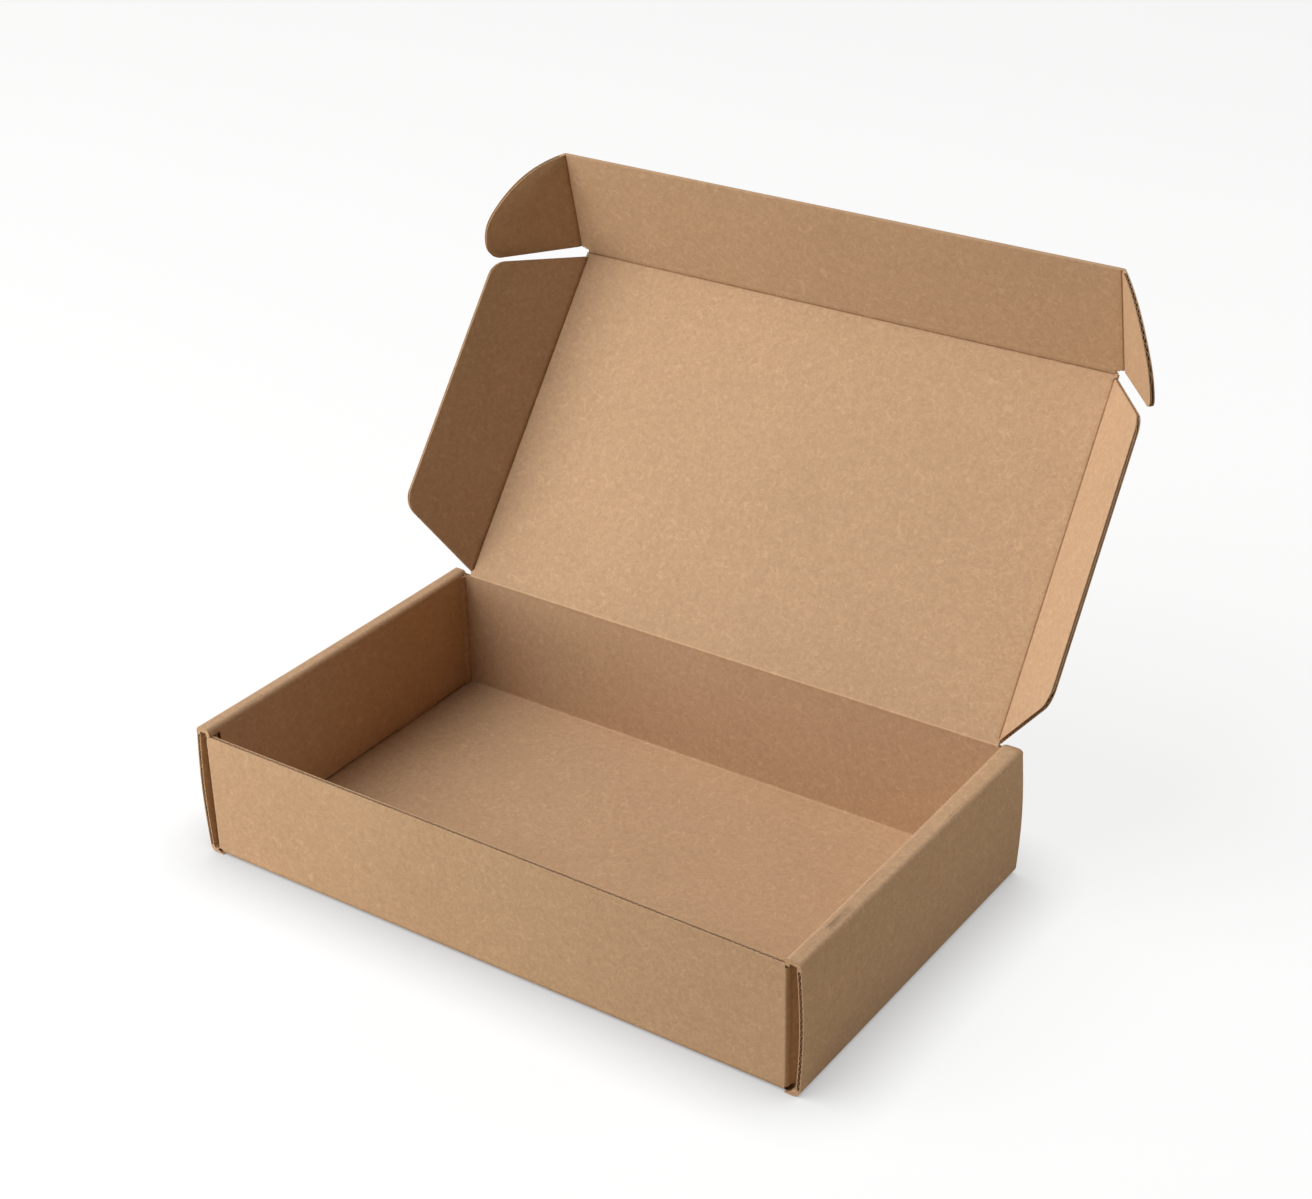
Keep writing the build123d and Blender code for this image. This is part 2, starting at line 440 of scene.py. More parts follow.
def fold_sheet(profile, sweep, radii, steps, facing):
    """Sheet swept along a folded profile, its first face looking to one side."""
    sheet = bmesh.new()
    corners = [sheet.verts.new(point) for point in profile]
    edges = [sheet.edges.new(pair) for pair in zip(corners, corners[1:])]
    swept = bmesh.ops.extrude_edge_only(sheet, edges=edges)["geom"]
    carry(sheet, swept, sweep)
    folds = [[edge for edge in corner.link_edges if edge not in edges] for corner in corners[1:-1]]
    for fold, radius in zip(folds, radii):
        bmesh.ops.bevel(sheet, geom=fold, offset=radius, offset_type="OFFSET", segments=steps, profile=0.5,
                        affect="EDGES", material=-1)
    bmesh.ops.recalc_face_normals(sheet, faces=sheet.faces)
    start = (profile[0] + profile[1] + sweep) / 2
    first = min(sheet.faces, key=lambda face: (face.calc_center_bounds() - start).length)
    if first.normal.dot(facing) < 0:
        bmesh.ops.reverse_faces(sheet, faces=sheet.faces)
    return sheet


def slice_sheet(sheet, direction, places):
    """Cut lines straight across a sheet."""
    for place in places:
        cut_line(sheet, direction * place, direction)


def cut_out(sheet, low, high):
    """Cut the part of a sheet that lies in a box out of it."""
    for direction, least, most in zip((ACROSS, BACK, UP), low, high):
        slice_sheet(sheet, direction, (least, most))
    inside = []
    for face in sheet.faces:
        middle = face.calc_center_median()
        if all(least < place < most for least, place, most in zip(low, middle, high)):
            inside.append(face)
    bmesh.ops.delete(sheet, geom=inside, context="FACES")


def close_edge(board, sheets, chosen, facing):
    """Closed edge of paper between the like edges of two sheets, a hair behind the ends of their liners."""
    rim = bmesh.new()
    for sheet in sheets:
        add_sheet(rim, sheet.copy())
    bmesh.ops.delete(rim, geom=[edge for edge in rim.edges if not chosen(edge)], context="EDGES_FACES")
    bmesh.ops.delete(rim, geom=[vertex for vertex in rim.verts if not vertex.link_edges], context="VERTS")
    bmesh.ops.bridge_loops(rim, edges=rim.edges)
    bmesh.ops.recalc_face_normals(rim, faces=rim.faces)
    rim.faces.ensure_lookup_table()
    if rim.faces[0].normal.dot(facing) < 0:
        bmesh.ops.reverse_faces(rim, faces=rim.faces)
    bmesh.ops.translate(rim, verts=rim.verts, vec=facing * -RIM_INSET)
    add_sheet(board, rim)


def flute_sheet(board, core, centre, across, width, along, length, rows=1):
    """Fluted paper of a panel, before it has its thickness: waves across it, straight along it."""
    sheet = bmesh.new()
    lift = across.cross(along)
    place = Matrix((across * width, along * length, lift)).transposed().to_4x4()
    place.translation = centre
    facets = round(width / board.pitch * board.steps)
    bmesh.ops.create_grid(sheet, x_segments=facets, y_segments=rows, size=0.5, matrix=place)
    height = board.thickness / 2 - board.liner - core / 2
    for vertex in sheet.verts:
        turns = (vertex.co - centre).dot(across) / board.pitch
        vertex.co += lift * (core / 2 + height * sin(turns * 2 * pi))
    return sheet


def mirrored(sheet):
    """The same sheet on the other side of the box."""
    other = sheet.copy()
    bmesh.ops.scale(other, vec=(-1, 1, 1), verts=other.verts)
    bmesh.ops.reverse_faces(other, faces=other.faces)
    return other


def finished(board, name):
    """Object of a finished board, with the kraft papers on it."""
    for face in board.faces:
        face.smooth = True
    for edge in board.edges:
        areas = [face.calc_area() for face in edge.link_faces]
        limit = CRISP_ANGLE if max(areas) > FLAT_TO_FOLD * min(areas) else SHARP_ANGLE
        edge.smooth = edge.calc_face_angle(pi) < limit
    mesh = bpy.data.meshes.new(name)
    board.to_mesh(mesh)
    board.free()
    for paper in PAPERS:
        mesh.materials.append(bpy.data.materials[paper])
    piece = bpy.data.objects.new(name, mesh)
    bpy.context.scene.collection.objects.link(piece)
    return piece


class Panel:
    """A flat panel of the lid, read from its solid: its middle, inner side and runs out of its creases."""

    def __init__(self, node):
        self.solid = bmesh.new()
        self.solid.from_mesh(frame["nodes"][node].data)
        bmesh.ops.remove_doubles(self.solid, verts=self.solid.verts, dist=MERGE_DISTANCE)
        bmesh.ops.dissolve_limit(self.solid, angle_limit=FLAT_ANGLE, verts=self.solid.verts,
                                 edges=self.solid.edges)
        skin = max(self.solid.faces, key=lambda face: face.calc_area())
        low, high = (Vector(corner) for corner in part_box(node))
        to_tray = (TRAY_LOW + TRAY_HIGH) / 2 - (low + high) / 2
        self.inward = skin.normal if skin.normal.dot(to_tray) > 0 else -skin.normal
        self.inward = self.inward.normalized()
        self.middle = skin.calc_center_median()

    def out_of(self, joint):
        """Direction across the panel, out of one of its creases."""
        axis = Vector(joint["axis"]).normalized()
        direction = self.inward.cross(axis).normalized()
        return direction if direction.dot(self.middle - Vector(joint["pos_m"])) > 0 else -direction


def open_crease(board, panel, joint, start, end):
    """Cut a panel back along the run of a crease, where the crease's own strip takes over."""
    foot, axis, out = Vector(joint["pos_m"]), Vector(joint["axis"]).normalized(), panel.out_of(joint)
    for place, direction in ((foot + out * board.crease_margin, out), (foot + axis * start, axis),
                             (foot + axis * end, axis)):
        cut_line(panel.solid, place, direction)
    inside = []
    for face in panel.solid.faces:
        offset = face.calc_center_median() - foot
        if offset.dot(out) < board.crease_margin and start < offset.dot(axis) < end:
            inside.append(face)
    bmesh.ops.delete(panel.solid, geom=inside, context="FACES")


def open_edges(panel):
    """Take the rims off a panel's free edges, and give the planes that they lay in."""
    rims = [face for face in panel.solid.faces if abs(face.normal.dot(panel.inward)) < RIM_LIMIT]
    planes = [(face.calc_center_median(), face.normal.copy()) for face in rims]
    bmesh.ops.delete(panel.solid, geom=rims, context="FACES")
    return planes


def score(board, panel, joint):
    """Press a second, fainter score line into a panel's inner side, along its crease."""
    foot, out = Vector(joint["pos_m"]), panel.out_of(joint)
    line, width = board.score_offset, board.score_width
    for place in (line - width / 2, line, line + width / 2):
        cut_line(panel.solid, foot + out * place, out)
    for vertex in panel.solid.verts:
        offset = vertex.co - foot
        if abs(offset.dot(out) - line) < width / 10 and offset.dot(panel.inward) > 0:
            vertex.co -= panel.inward * board.score_depth


def crease_strip(board, joint, parent, child, span, beaded=False):
    """Board along a crease, from one panel's margin to the other's, with a groove or a bead inside it; the
    bead's paper is lighter, partly from wear and partly as a painted highlight.

    Parent and child each give their inner side and their run away from the crease. The span gives where
    the strip starts and ends along the crease, each with the slant that the child's edge has there.
    """
    foot, axis = Vector(joint["pos_m"]), Vector(joint["axis"]).normalized()
    half, margin = board.thickness / 2, board.crease_margin
    (parent_in, parent_run), (child_in, child_run) = parent, child
    (start, start_slant), (end, end_slant) = span
    corner = (parent_in + child_in) * half / (1 + parent_in.dot(child_in))
    rise, width = (board.bead, board.bead_width) if beaded else (-board.groove, board.groove_width)
    shoulder = corner.dot(parent_run) + width / 2
    outline = [
        foot + parent_run * margin - parent_in * half,
        foot - corner,
        foot + child_run * margin - child_in * half,
        foot + child_run * margin + child_in * half,
        foot + child_run * shoulder + child_in * half,
        foot + corner + corner.normalized() * rise,
        foot + parent_run * shoulder + parent_in * half,
        foot + parent_run * margin + parent_in * half,
    ]
    strip = bmesh.new()
    corners = [strip.verts.new(point + axis * start) for point in outline]
    section = strip.faces.new(corners)
    swept = bmesh.ops.extrude_face_region(strip, geom=[section], use_keep_orig=True)["geom"]
    carry(strip, swept, axis * (end - start))
    outer_fold, inner_fold = (
        [edge for edge in vertex.link_edges
         if abs((edge.other_vert(vertex).co - vertex.co).dot(axis)) > margin]
        for vertex in (corners[1], corners[5]))
    rounding = [(outer_fold, board.crease_outer * tan(parent_in.angle(child_in) / 2))]
    if beaded:
        rounding.append((inner_fold, width / 4))
        # The bead's faces take the lighter paper: partly worn paper, partly a painted highlight along the
        # crease
        for face in inner_fold[0].link_faces:
            face.material_index = WORN_AND_HIGHLIT
    for fold, offset in rounding:
        bmesh.ops.bevel(strip, geom=fold, offset=offset, offset_type="OFFSET", segments=board.fold_steps,
                        profile=0.5, affect="EDGES", material=-1)
    for run in (parent_run, child_run):
        for share in DIP_SHARES:
            cut_line(strip, foot + run * margin * share, run)
    for vertex in strip.verts:
        offset = vertex.co - foot
        inward, run = max(parent, child, key=lambda side: offset.dot(side[1]))
        reach = offset.dot(run)
        if not beaded and offset.dot(inward) > half / 4:
            vertex.co -= inward * board.crease_dip * (1 - reach / margin) ** 2
        if run is child_run and reach > 0:
            vertex.co += axis * reach * (end_slant if offset.dot(axis) > (start + end) / 2 else start_slant)
    bmesh.ops.recalc_face_normals(strip, faces=strip.faces)
    return strip


def bend_between(piece, parent_run):
    """Bake a crease's strip into its mesh where it lies."""
    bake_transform(piece)


def crease_span(panel, joint):
    """Where a flap starts and ends along its crease, each with the slant of the flap's edge there."""
    foot, axis, out = Vector(joint["pos_m"]), Vector(joint["axis"]).normalized(), panel.out_of(joint)
    nearest = min((vertex.co - foot).dot(out) for vertex in panel.solid.verts)
    root = [vertex for vertex in panel.solid.verts if (vertex.co - foot).dot(out) < nearest + ROOT_DISTANCE]
    span = []
    for end in (-axis, axis):
        tip = max(root, key=lambda vertex: (vertex.co - foot).dot(end))
        rim = max(tip.link_faces, key=lambda face: face.normal.dot(end)).normal
        slant = -rim.dot(out) / rim.dot(axis) if rim.dot(end) > SLANT_LIMIT else 0
        offset = tip.co - foot
        span.append((offset.dot(axis) - slant * offset.dot(out), slant))
    return span


def build_flap(board, node, parent_node, fluted):
    """A flap and the crease that joins it to its parent panel; its edges show flutes or are pressed shut."""
    joint = JOINTS[node]
    panel, parent = Panel(node), Panel(parent_node)
    out, axis = panel.out_of(joint), Vector(joint["axis"]).normalized()
    span = crease_span(panel, joint)
    strip = crease_strip(board, joint, (parent.inward, parent.out_of(joint)), (panel.inward, out), span)
    parent.solid.free()
    ends = []
    creases = [other for other in JOINTS.values() if other["parent"] == node]
    if any(slant for place, slant in span):
        creases.append(joint)
    else:
        open_crease(board, panel, joint, *(place for place, slant in span))
    for crease in creases:
        run = panel.out_of(crease)
        ends.append((Vector(crease["pos_m"]) + run * board.crease_margin, -run))
    for place, direction in ends:
        trim(panel.solid, place, direction)
    whole = bmesh.new()
    if fluted:
        ends += open_edges(panel)
        low, high = (Vector(corner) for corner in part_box(node))
        reach = (high - low).length
        middle = panel.middle - panel.inward * (panel.middle - Vector(joint["pos_m"])).dot(panel.inward)
        flutes = flute_sheet(board, board.core, middle, out, reach, axis, reach)
        for place, direction in ends:
            trim(flutes, place, direction)
        thicken(flutes, board.core)
        add_sheet(whole, flutes, CORE)
    else:
        score(board, panel, joint)
    thicken(panel.solid, board.liner)
    add_sheet(whole, panel.solid)
    piece = finished(whole, f"{node}_board")
    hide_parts(node)
    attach(piece, node)
    crease = finished(strip, f"{node}_crease")
    bend_between(crease, parent.out_of(joint))


class MAILER_OT_papers(bpy.types.Operator):
    """Mix the kraft papers that the board is made of"""

    bl_idname = "mailer.papers"
    bl_label = "Kraft papers"

    def execute(self, context):
        kraft = context.scene.mailer_kraft
        # The hinge bead's paper is the liner made lighter: partly wear, partly a painted highlight
        for slot, light, dark, wear_and_highlight in ((LINER, kraft.liner_light, kraft.liner_dark, 1),
                                        (WORN_AND_HIGHLIT, kraft.liner_light, kraft.liner_dark, kraft.worn),
                                        (CORE, kraft.core_light, kraft.core_dark, 1)):
            kraft_paper(kraft, PAPERS[slot], Vector(light) * wear_and_highlight, Vector(dark) * wear_and_highlight)
        return {"FINISHED"}


def kraft_paper(kraft, name, light, dark):
    """Procedural kraft paper: cloudy tone, short fibres, dark flecks and a fine rough surface."""
    material = bpy.data.materials.new(name)
    material.use_nodes = True
    nodes, links = material.node_tree.nodes, material.node_tree.links
    shader = nodes["Principled BSDF"]
    shader.inputs["Specular IOR Level"].default_value = kraft.sheen
    place = nodes.new("ShaderNodeTexCoord").outputs["Object"]

    def noise(scale, detail, rough, distortion=0.0):
        node = nodes.new("ShaderNodeTexNoise")
        node.inputs["Scale"].default_value = scale
        node.inputs["Detail"].default_value = detail
        node.inputs["Roughness"].default_value = rough
        node.inputs["Distortion"].default_value = distortion
        links.new(place, node.inputs["Vector"])
        return node.outputs["Fac"]

    def scaled(value, span, to):
        node = nodes.new("ShaderNodeMapRange")
        for socket, number in zip(node.inputs[1:5], (*span, *to)):
            socket.default_value = number
        links.new(value, node.inputs[0])
        return node.outputs[0]

    def summed(first, second, operation="ADD"):
        node = nodes.new("ShaderNodeMath")
        node.operation = operation
        links.new(first, node.inputs[0])
        links.new(second, node.inputs[1])
        return node.outputs[0]

    def hairs(scale, width):
        node = nodes.new("ShaderNodeMath")
        node.operation = "COMPARE"
        node.inputs[1].default_value, node.inputs[2].default_value = 0.5, width
        links.new(noise(scale, detail=1, rough=0.4, distortion=0.8), node.inputs[0])
        patches = scaled(noise(scale * 1.7, detail=0, rough=0.5), span=(0.5, 0.6), to=(0.0, 0.45))
        return summed(node.outputs[0], patches, "MULTIPLY")

    mottle_range = (0.04, 0.21)
    clouds = scaled(noise(24, detail=2, rough=0.5), span=(0.3, 0.7), to=(0.03, 0.17))
    mottle = scaled(noise(280, detail=3, rough=0.6), span=(0.36, 0.64), to=mottle_range)
    fibres = scaled(noise(560, detail=3, rough=0.6, distortion=1.4), span=(0.36, 0.64), to=(0.02, 0.53))
    strands = summed(hairs(150, width=0.014), hairs(230, width=0.016))
    grain = summed(summed(summed(clouds, mottle), fibres), strands)
    flecks = scaled(noise(1100, detail=1, rough=0.5), span=(0.70, 0.76), to=(0.0, -0.4))
    tone = nodes.new("ShaderNodeMix")
    tone.data_type = "RGBA"
    tone.inputs["A"].default_value = (*dark, 1)
    tone.inputs["B"].default_value = (*light, 1)
    links.new(summed(grain, flecks), tone.inputs["Factor"])
    links.new(tone.outputs["Result"], shader.inputs["Base Color"])
    rough_range = (kraft.roughness - kraft.roughness_spread, kraft.roughness + kraft.roughness_spread)
    links.new(scaled(mottle, span=mottle_range, to=rough_range), shader.inputs["Roughness"])
    bump = nodes.new("ShaderNodeBump")
    bump.inputs["Strength"].default_value = kraft.bump
    bump.inputs["Distance"].default_value = kraft.bump_depth
    links.new(summed(mottle, fibres), bump.inputs["Height"])
    links.new(bump.outputs["Normal"], shader.inputs["Normal"])


class MAILER_OT_tray(bpy.types.Operator):
    """Fold the tray: front wall, base and back wall in one strip, rolled-over sides, tucked corner flaps"""

    bl_idname = "mailer.tray"
    bl_label = "Tray"

    def execute(self, context):
        board, tray = context.scene.mailer_board, context.scene.mailer_tray
        whole = bmesh.new()
        self.add_strip(whole, board, tray)
        self.add_side_walls(whole, board, tray)
        self.add_corner_flaps(whole, board, tray)
        piece = finished(whole, "tray_board")
        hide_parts("tray")
        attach(piece, "tray")
        return {"FINISHED"}

    @staticmethod
    def wall_half(tray):
        """Half the length of the front wall, up to where its end flaps turn back."""
        return TRAY_HIGH.x - tray.wall_width

    def cut_slots(self, sheet, board, tray):
        """Cut the slots for the tabs out of a sheet of the base."""
        middle = TRAY_HIGH.x - tray.wall_width + board.thickness / 2
        half_width = board.thickness / 2 + tray.slot_clearance
        half_run = tray.tab_width / 2 + tray.slot_clearance
        for side in SIDES.values():
            for place in (-tray.tab_spacing / 2, tray.tab_spacing / 2):
                cut_out(sheet, (side * middle - half_width, place - half_run, -board.thickness),
                        (side * middle + half_width, place + half_run, board.thickness * SLOT_REACH))

    def add_strip(self, whole, board, tray):
        """Front wall, base and back wall."""
        half = self.wall_half(tray)
        thick = board.thickness
        for inset, facing in ((0, -BACK), (thick, BACK)):
            depth = TRAY_HIGH.y - inset
            profile = [Vector((-half, -depth, tray.front_height)), Vector((-half, -depth, inset)),
                       Vector((-half, depth, inset)), Vector((-half, depth, HINGE.z))]
            radii = [tray.wall_fold - inset] * 2
            sheet = fold_sheet(profile, ACROSS * 2 * half, radii, board.fold_steps, facing)
            for vertex in sheet.verts:
                if vertex.co.x < 0 and vertex.co.y < 0 and vertex.co.z > tray.wall_fold - MERGE_DISTANCE:
                    vertex.co.x -= tray.left_reach
            self.cut_slots(sheet, board, tray)
            cut_out(sheet, (-tray.lid_width / 2, TRAY_HIGH.y - 2 * thick, HINGE.z - board.crease_margin),
                    (tray.lid_width / 2, TRAY_HIGH.y + thick, HINGE.z + thick))
            thicken(sheet, board.liner)
            add_sheet(whole, sheet)
        deep = board.edge_depth
        for place, top, core in ((-1, tray.front_height - board.edge_drop, board.crushed),
                                 (1, HINGE.z - board.crease_margin, board.core)):
            centre = Vector((0, place * (TRAY_HIGH.y - thick / 2), top - deep / 2))
            flutes = flute_sheet(board, core, centre, ACROSS, 2 * half, UP, deep)
            thicken(flutes, core)
            add_sheet(whole, flutes, CORE)
        for side in SIDES.values():
            free = half - tray.lid_width / 2
            centre = Vector((side * (half - free / 2), TRAY_HIGH.y - thick / 2,
                             HINGE.z - board.crease_margin / 2))
            flutes = flute_sheet(board, board.core, centre, ACROSS, free, UP, board.crease_margin)
            thicken(flutes, board.core)
            add_sheet(whole, flutes, CORE)

    def bow_out(self, sheet, board, tray):
        """Bow an outer side panel out, more at its ends, where the corner flaps push it."""
        inner = TRAY_HIGH.x - board.thickness * PANEL_REACH
        for vertex in sheet.verts:
            x, y, z = vertex.co
            if x > inner:
                share = tray.bow_middle + (1 - tray.bow_middle) * (y / TRAY_HIGH.y) ** 2
                rise = (z - tray.base_fold) / (TRAY_HIGH.z - 2 * tray.base_fold)
                vertex.co.x += tray.bow * share * max(0, sin(pi * rise))

    def spring(self, sheet, tray, splay, lean, lift):
        """Let a side wall spring: lean in at the back, and lift in front, at its inner fold or all over."""
        for vertex in sheet.verts:
            x, y, z = vertex.co
            rise, back = z / TRAY_HIGH.z, (y / TRAY_HIGH.y + 1) / 2
            share = min(1, max(0, (TRAY_HIGH.x - abs(x)) / tray.wall_width))
            vertex.co.x -= copysign(splay * share * rise * back, x)
            vertex.co.z += (lean * share + lift) * rise ** 2 * (1 - back) ** 2

    def add_pair(self, whole, sheet, tray, slot=LINER):
        """Add a sheet of the right side wall, and its like on the left."""
        left = mirrored(sheet)
        self.spring(left, tray, 0, 0, tray.left_lift)
        add_sheet(whole, left, slot)
        self.spring(sheet, tray, tray.splay, tray.lift, 0)
        add_sheet(whole, sheet, slot)

    def add_side_walls(self, whole, board, tray):
        """Side walls: up from the base, over a narrow top and down to the base again."""
        thick, half = board.thickness, self.wall_half(tray)
        outer, inner = TRAY_HIGH.x, TRAY_HIGH.x - tray.wall_width
        depth, height = TRAY_HIGH.y, TRAY_HIGH.z
        front_end = -depth + thick + tray.panel_front_gap
        back_end = depth - thick - tray.panel_back_gap
        radii = (tray.base_fold, tray.top_fold, tray.inner_fold)
        sheets = []
        rows = [depth * step / WALL_ROWS for step in range(1 - WALL_ROWS, WALL_ROWS)]
        levels = [height * step / WALL_LEVELS for step in range(1, WALL_LEVELS)]
        for inset, facing in ((0, -UP), (thick, UP)):
            profile = [Vector((half, -depth, inset)), Vector((outer - inset, -depth, inset)),
                       Vector((outer - inset, -depth, height - inset)),
                       Vector((inner + inset, -depth, height - inset)),
                       Vector((inner + inset, -depth, tray.panel_foot))]
            paper_radii = [max(radius - inset, board.core) for radius in radii]
            sheet = fold_sheet(profile, BACK * 2 * depth, paper_radii, board.fold_steps, facing)
            cut_out(sheet, (inner - thick, -depth - thick, tray.panel_foot / 2),
                    (inner + thick * PANEL_REACH, front_end, tray.flap_top + tray.lip_gap))
            cut_out(sheet, (inner - thick, back_end, tray.panel_foot / 2),
                    (inner + thick * PANEL_REACH, depth + thick, height - thick))
            self.cut_slots(sheet, board, tray)
            slice_sheet(sheet, BACK, rows)
            slice_sheet(sheet, UP, levels)
            foot = Vector((inner + inset, back_end, tray.panel_foot))
            corner = min(sheet.verts, key=lambda vertex: (vertex.co - foot).length)
            bmesh.ops.bevel(sheet, geom=[corner], offset=tray.panel_corner, offset_type="OFFSET",
                            segments=board.fold_steps, profile=0.5, affect="VERTICES", material=-1)
            self.bow_out(sheet, board, tray)
            sheets.append(sheet)
        lip = bmesh.new()
        base_folds = (-thick, tray.base_fold + MERGE_DISTANCE)
        for low, high in (base_folds, (tray.flap_top, height + thick)):
            for end in (-BACK, BACK):
                close_edge(lip, sheets, lambda edge: all(
                    vertex.co.dot(end) > depth - MERGE_DISTANCE and low < vertex.co.z < high
                    for vertex in edge.verts), end)
        self.add_pair(whole, lip, tray)
        for sheet in sheets:
            thicken(sheet, board.liner)
            self.add_pair(whole, sheet, tray)
        rise = height - 2 * tray.base_fold
        middle = height / 2
        panels = (
            (Vector((outer - thick / 2, 0, middle)), UP, rise, BACK, 2 * depth, FLUTE_ROWS),
            (Vector((inner + thick / 2, (front_end + back_end) / 2, middle)), UP, rise, BACK,
             back_end - front_end, 1),
        )
        for centre, across, width, along, length, count in panels:
            flutes = flute_sheet(board, board.core, centre, across, width, along, length, count)
            self.bow_out(flutes, board, tray)
            thicken(flutes, board.core)
            self.add_pair(whole, flutes, tray, CORE)
        for place in (-tray.tab_spacing / 2, tray.tab_spacing / 2):
            tab = bmesh.new()
            size = Vector((thick, tray.tab_width, tray.panel_foot - tray.tab_bottom))
            centre = Vector((inner + thick / 2, place, (tray.panel_foot + tray.tab_bottom) / 2))
            bmesh.ops.create_cube(tab, size=1, matrix=Matrix.LocRotScale(centre, None, size))
            add_sheet(whole, mirrored(tab))
            add_sheet(whole, tab)

    def corner_flap(self, board, tray, inset, reach, low, high):
        """One paper of a right front corner flap: back from the wall's end, sprung out, then back again."""
        face = TRAY_HIGH.x - board.thickness - tray.flap_inset - inset
        half, front, sprung = self.wall_half(tray) + reach, -TRAY_HIGH.y, tray.flap_flare - reach
        bend = tan(Vector((sprung, tray.flap_flare_run, 0)).angle(BACK) / 2)
        turn = front + tray.flap_straight + inset * bend
        profile = [Vector((half, front + inset, low)), Vector((face - sprung, front + inset, low)),
                   Vector((face - sprung, turn, low)), Vector((face, turn + tray.flap_flare_run, low)),
                   Vector((face, front + tray.flap_length, low))]
        radii = (tray.corner_fold - inset, (tray.flare_fold - board.thickness + inset) * bend,
                 (tray.flare_fold - inset) * bend)
        return fold_sheet(profile, UP * (high - low), radii, board.fold_steps, BACK if inset else -BACK)

    def add_corner_flaps(self, whole, board, tray):
        """Flaps at the ends of the front and back walls, turned into the hollow side walls."""
        front, back = (tray.flap_bottom, tray.flap_top), (tray.back_flap_bottom, tray.back_flap_top)
        for side, place, reach, (low, high) in ((1, 1, 0, front), (-1, 1, tray.left_reach, front),
                                                (1, -1, 0, back), (-1, -1, 0, back)):
            flap = bmesh.new()
            sheets = [self.corner_flap(board, tray, inset, reach, low, high)
                      for inset in (0, board.thickness)]
            close_edge(flap, sheets, lambda edge: all(
                vertex.co.z > high - MERGE_DISTANCE for vertex in edge.verts), UP)
            for sheet in sheets:
                thicken(sheet, board.liner)
                add_sheet(flap, sheet)
            bmesh.ops.scale(flap, vec=(side, place, 1), verts=flap.verts)
            if side * place < 0:
                bmesh.ops.reverse_faces(flap, faces=flap.faces)
            add_sheet(whole, flap)


class MAILER_OT_lid(bpy.types.Operator):
    """Lay the lid's panel between its creases, and the crease along the back wall's top"""

    bl_idname = "mailer.lid"
    bl_label = "Lid"

    def execute(self, context):
        board, tray = context.scene.mailer_board, context.scene.mailer_tray
        joint = JOINTS["lid_panel"]
        panel = Panel("lid_panel")
        out = panel.out_of(joint)
        half = tray.lid_width / 2
        span = ((-half, 0), (half, 0))
        strip = crease_strip(board, joint, (-BACK, -UP), (panel.inward, out), span, beaded=True)
        open_crease(board, panel, joint, -half, half)
        for other in JOINTS.values():
            if other["parent"] == "lid_panel":
                flap = Panel(other["child"])
                open_crease(board, panel, other, *(place for place, slant in crease_span(flap, other)))
                flap.solid.free()
        thicken(panel.solid, board.liner)
        piece = finished(panel.solid, "lid_panel_board")
        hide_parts("lid_panel")
        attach(piece, "lid_panel")
        crease = finished(strip, "lid_panel_crease")
        bend_between(crease, -UP)
        return {"FINISHED"}


class MAILER_OT_front_flap(bpy.types.Operator):
    """Fold the front flap up from the lid's front crease"""

    bl_idname = "mailer.front_flap"
    bl_label = "Front flap"

    def execute(self, context):
        build_flap(context.scene.mailer_board, "front_flap", "lid_panel", fluted=False)
        return {"FINISHED"}


class MAILER_OT_side_flaps(bpy.types.Operator):
    """Fold the side flaps in from the lid's side creases"""

    bl_idname = "mailer.side_flaps"
    bl_label = "Side flaps"

    def execute(self, context):
        for side in SIDES:
            build_flap(context.scene.mailer_board, f"{side}_side_flap", "lid_panel", fluted=True)
        return {"FINISHED"}


class MAILER_OT_ears(bpy.types.Operator):
    """Fold the ears in from the front flap's ends"""

    bl_idname = "mailer.ears"
    bl_label = "Ears"

    def execute(self, context):
        for side in SIDES:
            build_flap(context.scene.mailer_board, f"{side}_ear", "front_flap", fluted=True)
        return {"FINISHED"}


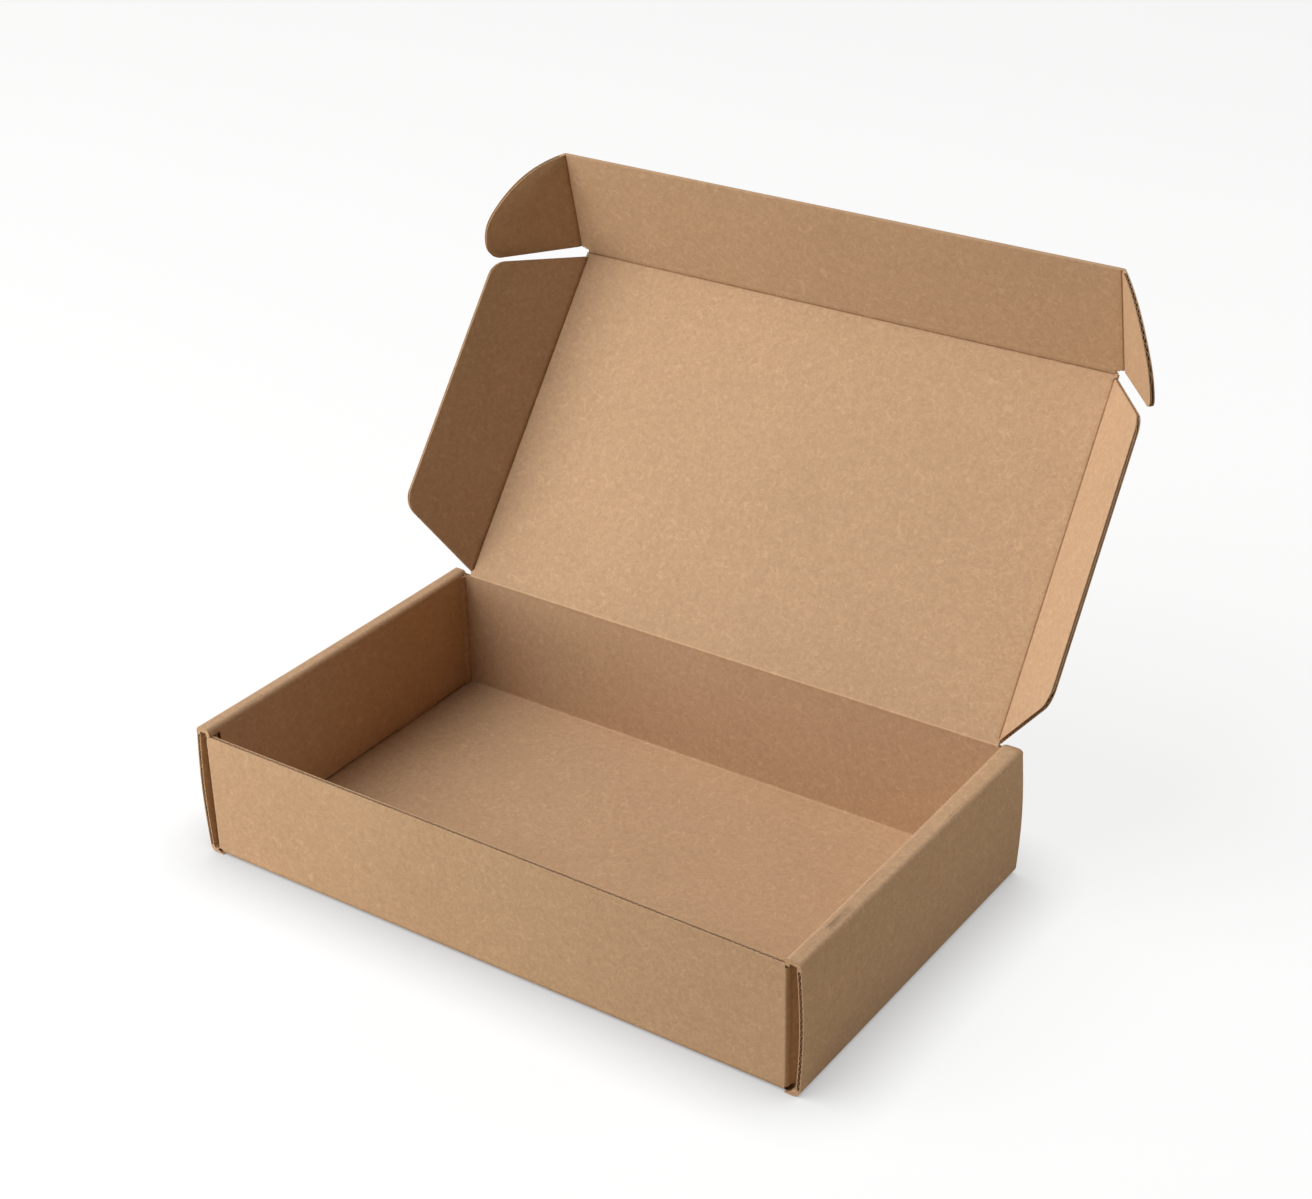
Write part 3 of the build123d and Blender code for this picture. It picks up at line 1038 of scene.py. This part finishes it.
class MAILER_OT_stage(bpy.types.Operator):
    """Lay the pale floor, set the studio light and stand the camera"""

    bl_idname = "mailer.stage"
    bl_label = "Stage"

    def execute(self, context):
        stage = context.scene.mailer_stage
        self.lay_floor(context, stage)
        self.set_light(context, stage)
        self.stand_camera(context, stage)
        return {"FINISHED"}

    def lay_floor(self, context, stage):
        """Round floor, white in the camera's view, with the box's shadow on it."""
        disc = bmesh.new()
        bmesh.ops.create_circle(disc, cap_ends=True, segments=FLOOR_SEGMENTS, radius=stage.floor_radius)
        mesh = bpy.data.meshes.new("floor")
        disc.to_mesh(mesh)
        disc.free()
        floor = bpy.data.objects.new("floor", mesh)
        context.scene.collection.objects.link(floor)
        material = bpy.data.materials.new("pale floor")
        material.use_nodes = True
        nodes, links = material.node_tree.nodes, material.node_tree.links
        nodes.remove(nodes["Principled BSDF"])
        bounced, seen = nodes.new("ShaderNodeBsdfDiffuse"), nodes.new("ShaderNodeBsdfDiffuse")
        bounced.inputs["Color"].default_value = (*stage.floor_colour, 1)
        seen.inputs["Color"].default_value = (stage.floor_shade, stage.floor_shade, stage.floor_shade, 1)
        contact = nodes.new("ShaderNodeAmbientOcclusion")
        contact.inputs["Distance"].default_value = stage.contact_reach
        level = nodes.new("ShaderNodeMapRange")
        level.inputs["To Min"].default_value = stage.floor_glow * (1 - stage.contact_depth)
        level.inputs["To Max"].default_value = stage.floor_glow
        glow, both = nodes.new("ShaderNodeEmission"), nodes.new("ShaderNodeAddShader")
        light_path, choice = nodes.new("ShaderNodeLightPath"), nodes.new("ShaderNodeMixShader")
        links.new(contact.outputs["AO"], level.inputs["Value"])
        links.new(level.outputs[0], glow.inputs["Strength"])
        links.new(seen.outputs[0], both.inputs[0])
        links.new(glow.outputs[0], both.inputs[1])
        links.new(light_path.outputs["Is Camera Ray"], choice.inputs["Fac"])
        links.new(bounced.outputs[0], choice.inputs[1])
        links.new(both.outputs[0], choice.inputs[2])
        links.new(choice.outputs[0], nodes["Material Output"].inputs["Surface"])
        mesh.materials.append(material)

    def set_light(self, context, stage):
        """Three soft lamps, a faint light from all round and a white background."""
        for name in ("key", "front", "back"):
            light = bpy.data.lights.new(f"{name} light", "AREA")
            light.shape = "DISK"
            light.size = getattr(stage, f"{name}_size")
            light.energy = getattr(stage, f"{name}_power")
            lamp = bpy.data.objects.new(f"{name} light", light)
            toward = Vector(getattr(stage, f"{name}_from")).normalized()
            lamp.location = toward * getattr(stage, f"{name}_distance")
            lamp.rotation_euler = toward.to_track_quat("Z", "Y").to_euler()
            context.scene.collection.objects.link(lamp)
        world = bpy.data.worlds.new("studio")
        world.use_nodes = True
        nodes, links = world.node_tree.nodes, world.node_tree.links
        background = nodes["Background"]
        colour = nodes.new("ShaderNodeMix")
        colour.data_type = "RGBA"
        colour.inputs["A"].default_value = (*stage.ambience_colour, 1)
        colour.inputs["B"].default_value = (1, 1, 1, 1)
        light_path = nodes.new("ShaderNodeLightPath")
        strength = nodes.new("ShaderNodeMapRange")
        strength.inputs["To Min"].default_value = stage.ambience
        strength.inputs["To Max"].default_value = 1
        links.new(light_path.outputs["Is Camera Ray"], colour.inputs["Factor"])
        links.new(colour.outputs["Result"], background.inputs["Color"])
        links.new(light_path.outputs["Is Camera Ray"], strength.inputs["Value"])
        links.new(strength.outputs[0], background.inputs["Strength"])
        context.scene.world = world
        context.scene.view_settings.view_transform = "Standard"

    def stand_camera(self, context, stage):
        """Camera above the box's front right corner."""
        camera = bpy.data.cameras.new("camera")
        camera.lens = stage.lens
        camera.sensor_fit = "HORIZONTAL"
        camera.sensor_width = stage.sensor
        camera.clip_start = CLIP_START
        stand = bpy.data.objects.new("camera", camera)
        stand.matrix_world = (Matrix.Translation(stage.camera_at) @ Matrix.Rotation(stage.camera_turn, 4, "Z")
                              @ Matrix.Rotation(pi / 2 - stage.camera_dip, 4, "X")
                              @ Matrix.Rotation(stage.camera_roll, 4, "Z"))
        context.scene.collection.objects.link(stand)
        context.scene.camera = stand


STEPS = ("papers", "tray", "lid", "front_flap", "side_flaps", "ears", "stage")


class MAILER_PT_panel(bpy.types.Panel):
    """The steps that build the box"""

    bl_idname = "MAILER_PT_panel"
    bl_label = "Mailer box"
    bl_space_type = "VIEW_3D"
    bl_region_type = "UI"
    bl_category = "Mailer box"

    def draw(self, context):
        for step in STEPS:
            self.layout.operator(f"mailer.{step}")


GROUPS = {"board": MailerBoard, "tray": MailerTray, "kraft": MailerKraft, "stage": MailerStage}
CLASSES = (MAILER_OT_papers, MAILER_OT_tray, MAILER_OT_lid, MAILER_OT_front_flap, MAILER_OT_side_flaps,
           MAILER_OT_ears, MAILER_OT_stage, MAILER_PT_panel)


def register():
    for name, group in GROUPS.items():
        bpy.utils.register_class(group)
        setattr(bpy.types.Scene, f"mailer_{name}", PointerProperty(type=group))
    for item in CLASSES:
        bpy.utils.register_class(item)


def unregister():
    for item in reversed(CLASSES):
        bpy.utils.unregister_class(item)
    for name, group in GROUPS.items():
        delattr(bpy.types.Scene, f"mailer_{name}")
        bpy.utils.unregister_class(group)


def main():
    register()
    for step in STEPS:
        getattr(bpy.ops.mailer, step)()


if __name__ == "__main__":
    main()
